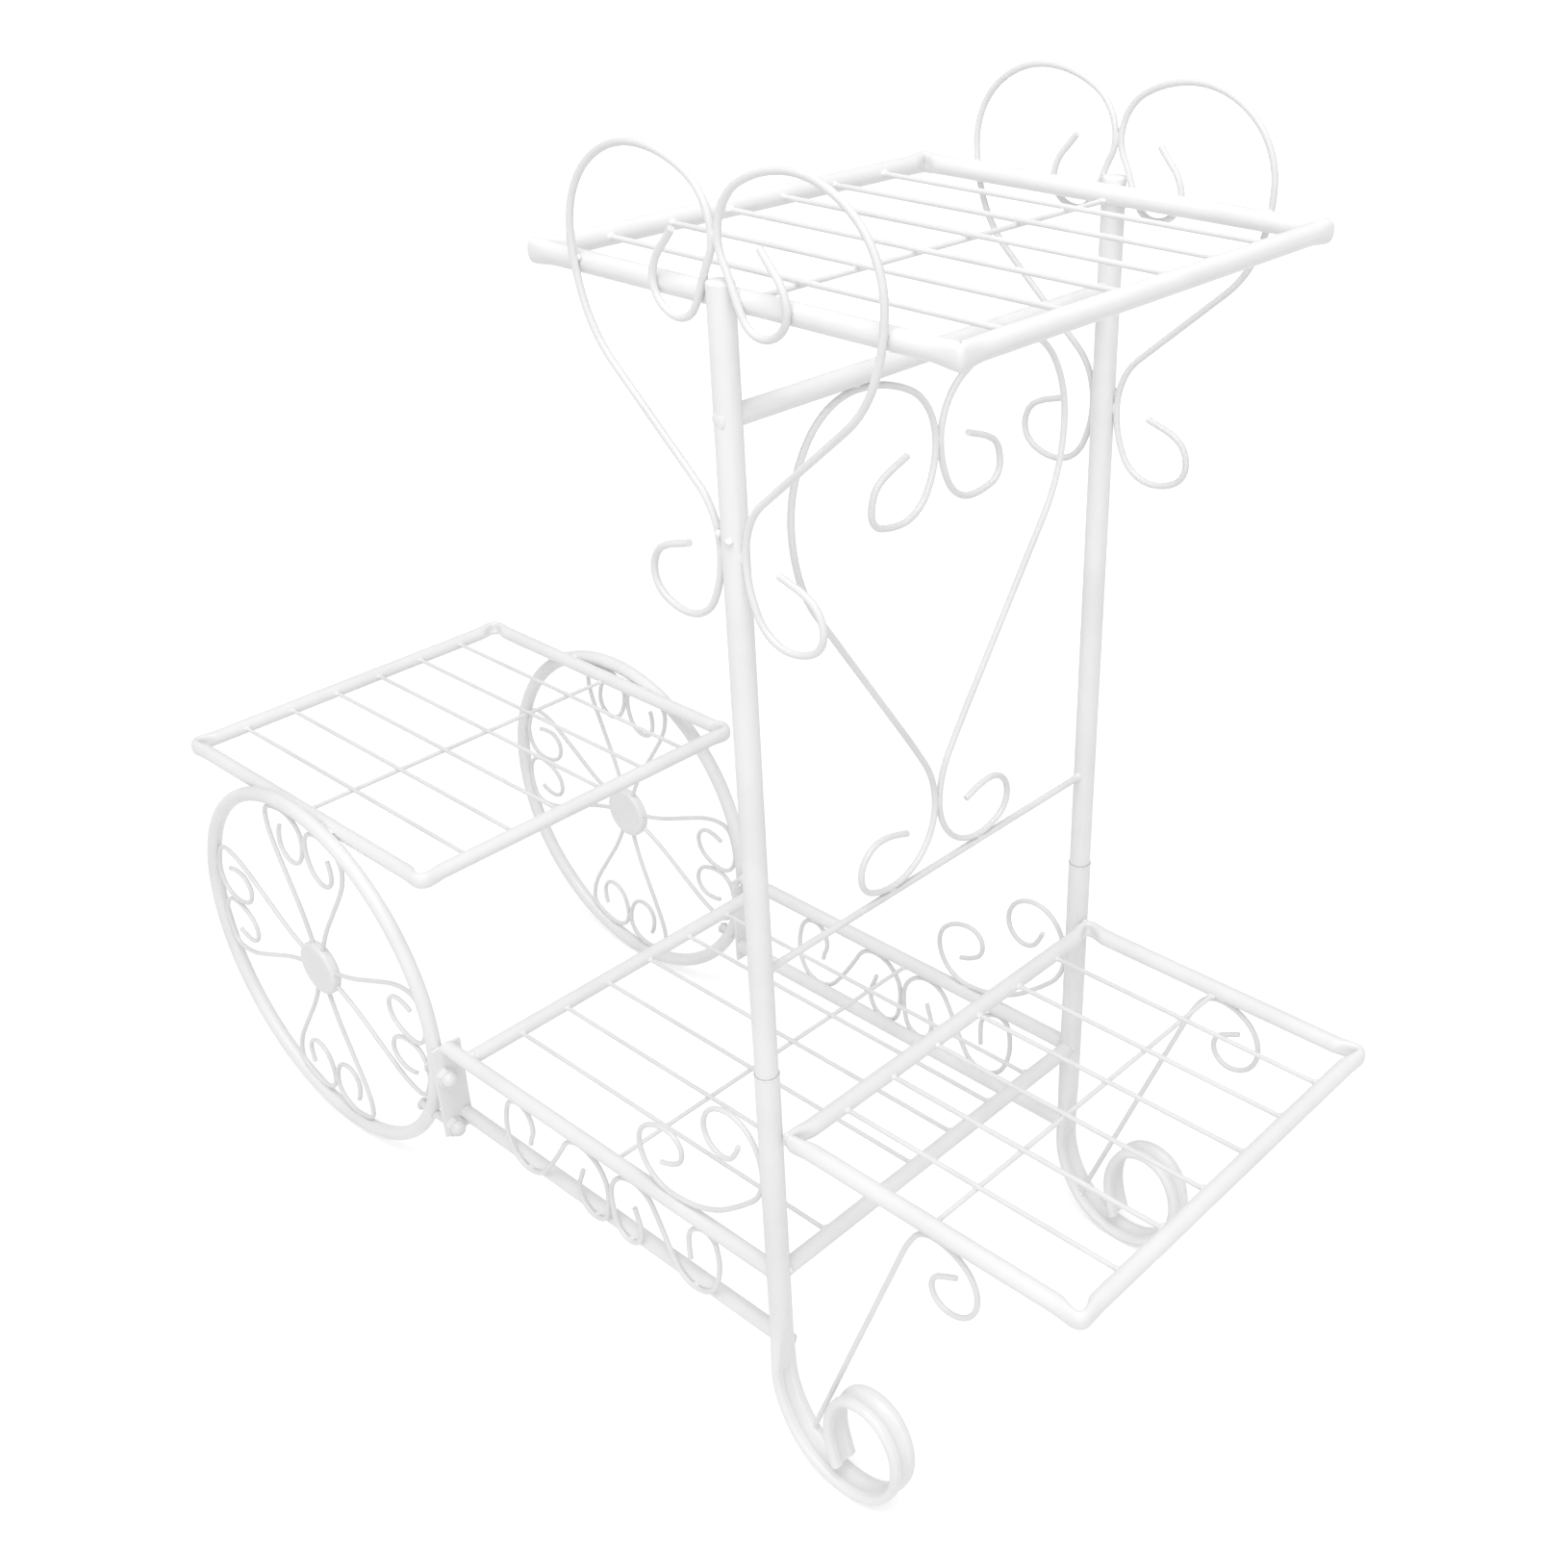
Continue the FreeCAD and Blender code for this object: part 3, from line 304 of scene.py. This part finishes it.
def frame_rings(low, high, corner_round, crushed_width, crushed_height, reach_of_crush):
    """Rings round the rectangle that is drawn by the frame's outside edges."""
    centre = (low + high) / 2
    half_x, half_y = (high.x - low.x) / 2, (high.y - low.y) / 2
    rings = []
    for quarter in range(4):
        turn = Matrix.Rotation(math.pi / 2 * quarter, 3, "Z")
        reach, side = (half_x, half_y) if quarter % 2 == 0 else (half_y, half_x)
        run = side - corner_round
        near = [reach_of_crush * k / SQUEEZE_STEPS for k in range(SQUEEZE_STEPS + 1)]
        places = [step - run for step in near] + [0.0] + [run - step for step in reversed(near)]
        for place in places:
            crush = 1 - ease((run - abs(place)) / reach_of_crush)
            point = centre + turn @ Vector((reach, place, 0))
            inward = turn @ Vector((-1, 0, 0))
            rings.append(crushed_ring(point, inward, crush, crushed_width, crushed_height))
        pivot = centre + turn @ Vector((reach - corner_round, run, 0))
        for k in range(1, CORNER_STEPS):
            lean = Matrix.Rotation(math.pi / 2 * k / CORNER_STEPS, 3, "Z")
            outward = turn @ lean @ Vector((1, 0, 0))
            point = pivot + outward * corner_round
            rings.append(crushed_ring(point, -outward, 1.0, crushed_width, crushed_height))
    return rings


trial = frame_rings(Vector((0, 0, 0)), Vector((0.3, 0.3, TUBE)), *CORNERS["top_shelf_frame"])
print("rings round a frame:", len(trial))

# %% [markdown]
# Faces between each ring and the next close the loop into one seamless tube,
# which takes the place of the plain frame. One helper turns points and faces
# into a smooth piece, and the beads and caps further down use it too. Several
# pieces here are loops of rings, so the faces also come from one helper.

# %% Loft the three shelf frames
def mesh_piece(name, vertices, faces, material):
    mesh = bpy.data.meshes.new(name)
    mesh.from_pydata(vertices, [], faces)
    shape = bmesh.new()
    shape.from_mesh(mesh)
    bmesh.ops.recalc_face_normals(shape, faces=shape.faces)
    shape.to_mesh(mesh)
    shape.free()
    mesh.polygons.foreach_set("use_smooth", [True] * len(mesh.polygons))
    mesh.materials.append(material)
    piece = bpy.data.objects.new(name, mesh)
    bpy.context.scene.collection.objects.link(piece)
    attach(piece, "root")
    return piece


def loft_faces(pairs, around):
    """Faces between pairs of rings that have the same number of points."""
    faces = []
    for i, j in pairs:
        for k in range(around):
            m = (k + 1) % around
            faces.append((i * around + k, j * around + k, j * around + m, i * around + m))
    return faces


def closed_pairs(count):
    return [(i, (i + 1) % count) for i in range(count)]


def shelf_loop(node_name):
    rings = frame_rings(*shelf_edges[node_name], *CORNERS[node_name])
    vertices = [point for ring in rings for point in ring]
    faces = loft_faces(closed_pairs(len(rings)), RING_POINTS)
    piece = mesh_piece(node_name + "_bent", vertices, faces, coated_tube)
    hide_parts(node_name)
    return piece


# The front shelf's node also holds its welds, behind the frame, so its rear
# edge is taken from the deck wires that end on it.
shelf_edges = {}
for shelf in CORNERS:
    low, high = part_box(shelf)
    wire_low, wire_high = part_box(shelf.replace("frame", "wires"))
    low = Vector((wire_low.x - TUBE, low.y, (low.z + high.z) / 2 - TUBE / 2))
    high = Vector((wire_high.x + TUBE, high.y, low.z + TUBE))
    shelf_edges[shelf] = (low, high)
    loop = shelf_loop(shelf)
    edges = [round(v / MM, 1) for v in (low.x, high.x)]
    print(loop.name, "has", len(loop.data.vertices), "points, edges at", edges)

# %% [markdown]
# ## Weld beads
#
# The wires are spot welded and the tubes are tack welded. Each weld is a small
# bead of melted steel that the powder rounds off: a few millimetres long, a
# little lopsided, never twice the same. A bead could be a bump in the
# material, but it changes the outline where a wire meets a rail, so it is
# modelled: a small ball is stretched along the joint, pushed about by a few
# random waves, and many such balls are joined into one mesh for each group.

# %% One bead
BEAD_BALL = bmesh.new()
bmesh.ops.create_icosphere(BEAD_BALL, subdivisions=3, radius=1.0)
BALL_POINTS = [v.co.copy() for v in BEAD_BALL.verts]
BALL_FACES = [[v.index for v in face.verts] for face in BEAD_BALL.faces]
BEAD_BALL.free()
BULGE = 0.07  # of the bead's size, for each of its three waves
rng = random.Random(7)


def bead(spot, along, length, thick):
    """Points of one bead at spot, stretched along a direction, in metres."""
    along = Vector(along).normalized()
    waves = [(Vector([rng.uniform(-3, 3) for _ in range(3)]), rng.uniform(0, 6.28))
             for _ in range(3)]
    grow = rng.uniform(0.88, 1.1)
    points = []
    for ball in BALL_POINTS:
        bulge = 1 + BULGE * sum(math.sin(wave.dot(ball) + phase) for wave, phase in waves)
        on_axis = along * ball.dot(along)
        off_axis = ball - on_axis
        points.append(spot + (on_axis * length / 2 + off_axis * thick / 2) * bulge * grow)
    return points


def bead_group(name, welds):
    """welds: (spot, direction, length, thickness) for every bead, in metres."""
    points, faces = [], []
    for weld in welds:
        faces += [[len(points) + i for i in face] for face in BALL_FACES]
        points += bead(*weld)
    piece = mesh_piece(name, points, faces, coated_weld)
    print(name, "has", len(welds), "beads")
    return piece


print("points in a bead:", len(BALL_POINTS))

# %% [markdown]
# Every deck has six long wires, spaced evenly between the side rails, that end
# on the inner faces of its end rails, and one cross wire under them. The boxes
# of the pieces give these places.

# %% Beads of the four decks
DECK_WIRES = 6
DECK_PITCH = 260 * MM / (DECK_WIRES + 1)
ACROSS = (0, 1, 0)
ALONG = (1, 0, 0)
UP = (0, 0, 1)


def deck_welds(deck):
    low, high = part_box(deck + "_wires")
    cross_low, cross_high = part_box(deck + "_cross_wire")
    level = (low.z + high.z) / 2
    cross_x = (cross_low.x + cross_high.x) / 2
    cross_z = (cross_low.z + cross_high.z) / 2
    welds = []
    for k in range(DECK_WIRES):
        y = (k - (DECK_WIRES - 1) / 2) * DECK_PITCH
        for x in (low.x, high.x):
            welds.append((Vector((x, y, level + 0.4 * MM)), ACROSS, 5.2 * MM, 3.6 * MM))
        crossing = Vector((cross_x, y, (level + cross_z) / 2))
        welds.append((crossing, ALONG, 3.4 * MM, 2.6 * MM))
    for y in (cross_low.y, cross_high.y):
        welds.append((Vector((cross_x, y, cross_z)), ALONG, 5.0 * MM, 3.6 * MM))
    return welds


for deck in ("top_shelf", "rear_shelf", "front_shelf", "bed"):
    bead_group(deck + "_beads", deck_welds(deck))

# %% [markdown]
# The other welds are where a heart, scroll, brace, rim or rod touches its
# neighbour. Their places are in millimetres: forward of the posts' line,
# sideways from the middle plane and above the ground. Most come in pairs,
# left and right.

# %% Beads of the hearts
POST_X = (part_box("spreader_bar")[0].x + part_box("spreader_bar")[1].x) / 2


def spot(forward, sideways, height):
    return Vector((POST_X + forward * MM, sideways * MM, height * MM))


def both_sides(welds):
    mirrored = [((x, -y, z), *rest) for (x, y, z), *rest in welds]
    return [(spot(*place), along, length * MM, thick * MM)
            for place, along, length, thick in welds + mirrored]


HEART_PLANE = 136.75
bead_group("side_heart_beads", both_sides([
    ((0, HEART_PLANE, 701), UP, 7.0, 2.6),
    ((-7.4, HEART_PLANE - 0.4, 684), UP, 5.0, 3.0),
    ((7.4, HEART_PLANE - 0.4, 684), UP, 5.0, 3.0),
    ((-6.7, HEART_PLANE - 0.2, 565.5), UP, 6.0, 3.4),
    ((6.7, HEART_PLANE - 0.2, 565.5), UP, 6.0, 3.4),
    ((-5.8, 139.4, 575.0), UP, 4.4, 3.6),
    ((2.2, 140.8, 573.5), ALONG, 4.4, 3.4),
    ((-89.5, 135.2, 679), ALONG, 4.6, 3.2),
    ((89.5, 135.2, 679), ALONG, 4.6, 3.2),
]))
bead_group("centre_heart_beads", both_sides([
    ((0, 56.6, 621.9), ACROSS, 6.0, 3.2),
    ((0, 36.4, 342.2), ACROSS, 6.0, 3.0),
    ((0, 128.6, 340), ALONG, 5.6, 5.6),
]) + [
    (spot(0, 0, 581.5), UP, 7.0 * MM, 2.6 * MM),
    (spot(0, 0, 379.7), UP, 7.0 * MM, 2.6 * MM),
])

# %% [markdown]
# The scrolls beside the bed touch the upper rails with their crowns and the
# lower rails with their feet. The braces run from the feet of the legs to the
# front shelf. The last group has the tacks of the rails on legs and plates.

# %% Beads of scrolls, braces and rails
CROWNS = (-233.5, -173.3, -123.2, -60.2)
FEET = (-232, -165.6, -132.9, -74.5)
scroll_tops = [((x, 135, 129), ALONG, 5.4, 2.8) for x in CROWNS]
scroll_feet = [((x, 133.5, 74.5), ALONG, 5.0, 3.0) for x in FEET]
bead_group("scroll_beads", both_sides(scroll_tops + scroll_feet + [
    ((-88.8, 135, 139.2), ALONG, 5.4, 3.0),
    ((-6.9, 135, 200.6), UP, 6.0, 3.2),
]))
bead_group("brace_beads", both_sides([
    ((111, 130, 229.6), ALONG, 6.4, 3.6),
    ((18.4, 129.6, 19.2), (1, 0, 2.6), 6.5, 4.6),
    ((9.2, 131.4, 236.5), UP, 7.4, 4.4),
    ((9.6, 128.6, 230.5), UP, 5.0, 4.0),
]))
bead_group("rail_beads", both_sides([
    ((-5.6, 131.2, 138.2), (1, 0.6, 0), 4.6, 2.6),
    ((5.4, 130.6, 137.6), (1, -0.6, 0), 4.6, 2.6),
    ((-5.8, 130.6, 79.0), ACROSS, 5.0, 2.6),
    ((-285, 130.4, 138.0), ALONG, 5.0, 2.8),
    ((-306.6, 129.6, 131.0), ACROSS, 4.4, 2.4),
    ((-307.2, 128.0, 79.6), ACROSS, 5.0, 2.6),
]))

# %% [markdown]
# The lower side rails run past the inner sides of the legs, and a blob of weld
# closes the open end of each.

# %% Closed rail ends
rail_low, rail_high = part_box("bed_lower_rail_left")
rail_middle = (rail_low + rail_high) / 2
rail_end = ((rail_high.x - POST_X) / MM - 1.0, -rail_middle.y / MM, rail_middle.z / MM)
print("rail end in mm:", [round(v, 1) for v in rail_end])
bead_group("rail_end_beads", both_sides([(rail_end, ALONG, 3.6, 9.6)]))

# %% [markdown]
# The bar is held by a screw through each post. In the CAD its domed head has
# a crisp edge; here the powder has run over that edge and softened it. The head
# is made like a bead, wide and very short, and it replaces the whole screw, as
# the rest of it is hidden in the tubes.

# %% Screw heads of the bar
bar_low, bar_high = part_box("spreader_bar")
BAR_HEIGHT = (bar_low.z + bar_high.z) / 2 / MM
HEAD_WIDTH = 7.6
HEAD_RISE = 1.7
screw_heads = bead_group("bar_screw_heads", both_sides([
    ((0, 140.7, BAR_HEIGHT), ACROSS, HEAD_RISE, HEAD_WIDTH),
]))
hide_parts("bar_screws")

# %% [markdown]
# A wheel's four lyre spokes touch the rim at their two crowns, touch each
# other in the middle, and the rim touches the shelf above it twice.

# %% Beads of the wheels
HUB_BACK = 446.0
HUB_HEIGHT = 136.0
WHEEL_SIDE = 140.0
WHEEL_TURN = -6  # degrees, from the first spoke to straight ahead
# For each spoke: degrees from its middle, distance from the hub, length.
SPOKE_WELDS = ((-11.6, 125.6, 5.0), (11.6, 125.6, 5.0), (0.0, 105.5, 4.6))
SHELF_TOUCH = 42
rim_welds = []
for k in range(4):
    for lean, reach, length in SPOKE_WELDS:
        angle = math.radians(WHEEL_TURN + 90 * k + lean)
        ahead, up = math.cos(angle), math.sin(angle)
        place = (-HUB_BACK + reach * ahead, WHEEL_SIDE, HUB_HEIGHT + reach * up)
        # Along the rim at the crowns, outward from the hub in the middle.
        along = (-up, 0, ahead) if lean else (ahead, 0, up)
        rim_welds.append((place, along, length, 2.6))
for x in (-HUB_BACK - SHELF_TOUCH, -HUB_BACK + SHELF_TOUCH):
    rim_welds.append(((x, 135.2, 262), ALONG, 7.0, 3.4))
bead_group("wheel_beads", both_sides(rim_welds))

# %% [markdown]
# ## The joint of post and leg
#
# Each post is two tubes: the upper one is reduced at its end and slides into the leg, which stops
# it with its top edge. The powder is thick on that edge, and the gap above it is in shadow. That
# shadow is painted: a grey ring stands for the gap. The gap is some tenths of a millimetre, too
# fine to show in the render, so the painted seam shadow is drawn 0.5 mm thick and the rim under it
# 0.7 mm.

# %% Joint rims and seams
SIDES = (("left", -135 * MM), ("right", 135 * MM))
RIM_THICK, RIM_RADIUS = 0.7 * MM, 6.65 * MM
SEAM_THICK, SEAM_RADIUS = 0.5 * MM, 6.30 * MM


def ring_piece(name, centre, radius, thick, material):
    turns, around = 64, 12
    points = []
    for i in range(turns):
        angle = 2 * math.pi * i / turns
        outward = Vector((math.cos(angle), math.sin(angle), 0))
        for k in range(around):
            lean = 2 * math.pi * k / around
            lift = Vector((0, 0, thick / 2 * math.sin(lean)))
            points.append(centre + outward * (radius + thick / 2 * math.cos(lean)) + lift)
    faces = loft_faces(closed_pairs(turns), around)
    return mesh_piece(name, points, faces, material)


# Painted shadow: the shaded gap between post and leg is drawn as a dull grey line, on a ring of its
# own.
seam_shadow = powder_coat("painted_seam_shadow", SEAM_SHADOW_GREY, SEAM_SHADOW_GREY, 0.02 * MM, 0.55)
JOINT_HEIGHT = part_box("leg_left")[1].z
for side_name, y in SIDES:
    centre = Vector((POST_X, y, JOINT_HEIGHT))
    below = Vector((0, 0, -0.35 * MM))
    above = Vector((0, 0, 0.3 * MM))
    ring_piece("joint_rim_" + side_name, centre + below, RIM_RADIUS, RIM_THICK, coated_tube)
    ring_piece("joint_seam_" + side_name, centre + above, SEAM_RADIUS, SEAM_THICK, seam_shadow)
print("joint height in mm:", round(JOINT_HEIGHT / MM, 1))

# %% [markdown]
# ## Caps on the posts
#
# The upper ends of the posts look closed: with a thin steel cap, it seems,
# welded on and ground round. It is turned here: one curve of radius against height is spun
# round the post's axis. Its skirt reaches down into the tube and closes the
# notch that the shelf rail leaves in the wall.

# %% Post caps
# Radius and height of the curve's points in millimetres, from the skirt up.
CAP_CURVE = ((6.2, -9.0), (6.25, 0.0), (6.2, 0.35), (5.9, 0.75), (5.2, 1.1), (4.0, 1.4),
             (2.4, 1.6), (0.9, 1.68))


def spun_cap(name, centre):
    turns = 48
    last = len(CAP_CURVE) - 1
    points = []
    for radius, height in CAP_CURVE:
        for i in range(turns):
            angle = 2 * math.pi * i / turns
            step = Vector((math.cos(angle) * radius, math.sin(angle) * radius, height))
            points.append(centre + step * MM)
    faces = loft_faces([(r, r + 1) for r in range(last)], turns)
    faces.append([last * turns + i for i in range(turns)])
    faces.append([turns - 1 - i for i in range(turns)])
    return mesh_piece(name, points, faces, coated_tube)


POST_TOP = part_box("post_left")[1].z
for side_name, y in SIDES:
    spun_cap("post_cap_" + side_name, Vector((POST_X, y, POST_TOP)))
print("caps at", round(POST_TOP / MM, 1), "mm")

# %% [markdown]
# ## Floor, light and camera
#
# The picture needs a white ground that still takes the object's shadow. White
# paint alone would turn grey at a distance, where the lamps don't reach, and
# more lamp light would burn out the stand. So the paint glows a little, only
# where a camera or a reflection sees it, and more so further out: the light on
# the stand stays the same.

# %% Floor
FLOOR_PAINT = "#E9E9E9"
NEAR_GLOW, FAR_GLOW = 0.4, 1.0
NEAR, FAR = 0.7, 3.5
WHITE = (1, 1, 1, 1)


def white_ground():
    """White paint that glows where a camera or a reflection sees it."""
    material = new_material("plain_floor")
    path = add_node(material, "ShaderNodeLightPath")
    place = add_node(material, "ShaderNodeTexCoord")
    far = add_node(material, "ShaderNodeVectorMath", {"operation": "LENGTH"}, i0=(place, "Object"))
    lift = add_node(material, "ShaderNodeMapRange", Value=(far, "Value"),
                    From_Min=NEAR, From_Max=FAR, To_Min=NEAR_GLOW, To_Max=FAR_GLOW)
    paint = add_node(material, "ShaderNodeBsdfDiffuse", Color=linear(FLOOR_PAINT))
    glow = add_node(material, "ShaderNodeEmission", Color=WHITE, Strength=(lift, "Result"))
    seen = add_node(material, "ShaderNodeMath", {"operation": "MAXIMUM"},
                    i0=(path, "Is Camera Ray"), i1=(path, "Is Glossy Ray"))
    both = add_node(material, "ShaderNodeAddShader", i0=(paint, "BSDF"), i1=(glow, "Emission"))
    mixed = add_node(material, "ShaderNodeMixShader", Fac=(seen, "Value"),
                     i1=(paint, "BSDF"), i2=(both, "Shader"))
    add_node(material, "ShaderNodeOutputMaterial", Surface=(mixed, "Shader"))
    return material


FLOOR_SIZE = 30.0
FLOOR_LEVEL = -0.5 * MM
bpy.ops.mesh.primitive_plane_add(size=FLOOR_SIZE, location=(0, 0, FLOOR_LEVEL))
floor = bpy.context.object
floor.name = "floor"
floor.data.materials.append(white_ground())
print("floor:", FLOOR_SIZE, "m wide")

# %% [markdown]
# A photo studio's white walls light the stand from all round. Here the world
# does that: it is pure white to the camera, and dimmer as a light, because at
# full strength it would leave no shading on a white thing.

# %% World
SKY_LIGHT = 0.62
world = bpy.data.worlds.new("studio")
bpy.context.scene.world = world
world.use_nodes = True
world.node_tree.nodes.clear()
rays = add_node(world, "ShaderNodeLightPath")
sky = add_node(world, "ShaderNodeBackground", Color=WHITE, Strength=SKY_LIGHT)
backdrop = add_node(world, "ShaderNodeBackground", Color=WHITE, Strength=1.0)
choose = add_node(world, "ShaderNodeMixShader", Fac=(rays, "Is Camera Ray"),
                  i1=(sky, "Background"), i2=(backdrop, "Background"))
add_node(world, "ShaderNodeOutputWorld", Surface=(choose, "Shader"))
print("sky light:", SKY_LIGHT)

# %% [markdown]
# Light that shows a white thing on white is broad and soft, and comes a little
# more from above and from one side, so that undersides and far sides turn
# pale grey. Two large softboxes do that: one overhead, one weaker in front.

# %% Lamps
def softbox(name, place, aim, size, power):
    lamp = bpy.data.lights.new(name, "AREA")
    lamp.shape = "SQUARE"
    lamp.size = size
    lamp.energy = power
    holder = bpy.data.objects.new(name, lamp)
    bpy.context.scene.collection.objects.link(holder)
    holder.location = place
    holder.rotation_mode = "QUATERNION"
    holder.rotation_quaternion = (Vector(aim) - Vector(place)).to_track_quat("-Z", "Y")
    return holder


# Place and aim in metres, then the width in metres and the power in watts.
softbox("overhead", (0.6, -0.7, 2.6), (0, 0, 0.3), 1.6, 29)
softbox("front_fill", (1.9, -2.2, 1.5), (0, 0, 0.35), 1.4, 12)
print("lamps:", [lamp.name for lamp in bpy.data.lights])

# %% [markdown]
# ## Camera
#
# The photograph was taken from the front left, a little above the top shelf,
# close enough that the top looks larger than the feet. The lens and the place
# come from a fit to the stand's straight edges. The picture is square and
# slightly off the lens axis, which the shift repeats.

# %% Camera
FRAME_PIXELS = 1630
FOCAL_PIXELS = 1857.5
AXIS_PIXEL = (965.9, 833.5)
SENSOR = 36.0  # mm
AZIMUTH = math.radians(40.97)
ELEVATION = math.radians(30.54)
CAMERA_PLACE = Vector((POST_X + 0.5397, -0.6281, 0.8687))

lens = bpy.data.cameras.new("camera")
lens.sensor_width = SENSOR
lens.lens = FOCAL_PIXELS / FRAME_PIXELS * SENSOR
lens.shift_x = (FRAME_PIXELS / 2 - AXIS_PIXEL[0]) / FRAME_PIXELS
lens.shift_y = (AXIS_PIXEL[1] - FRAME_PIXELS / 2) / FRAME_PIXELS
lens.clip_start = 0.01
camera = bpy.data.objects.new("camera", lens)
bpy.context.scene.collection.objects.link(camera)
camera.location = CAMERA_PLACE
camera.rotation_mode = "QUATERNION"
look = Vector((
    -math.sin(AZIMUTH) * math.cos(ELEVATION),
    math.cos(AZIMUTH) * math.cos(ELEVATION),
    -math.sin(ELEVATION),
))
camera.rotation_quaternion = look.to_track_quat("-Z", "Y")
bpy.context.scene.camera = camera
bpy.context.scene.view_settings.view_transform = "Standard"
print("lens mm:", round(lens.lens, 1))
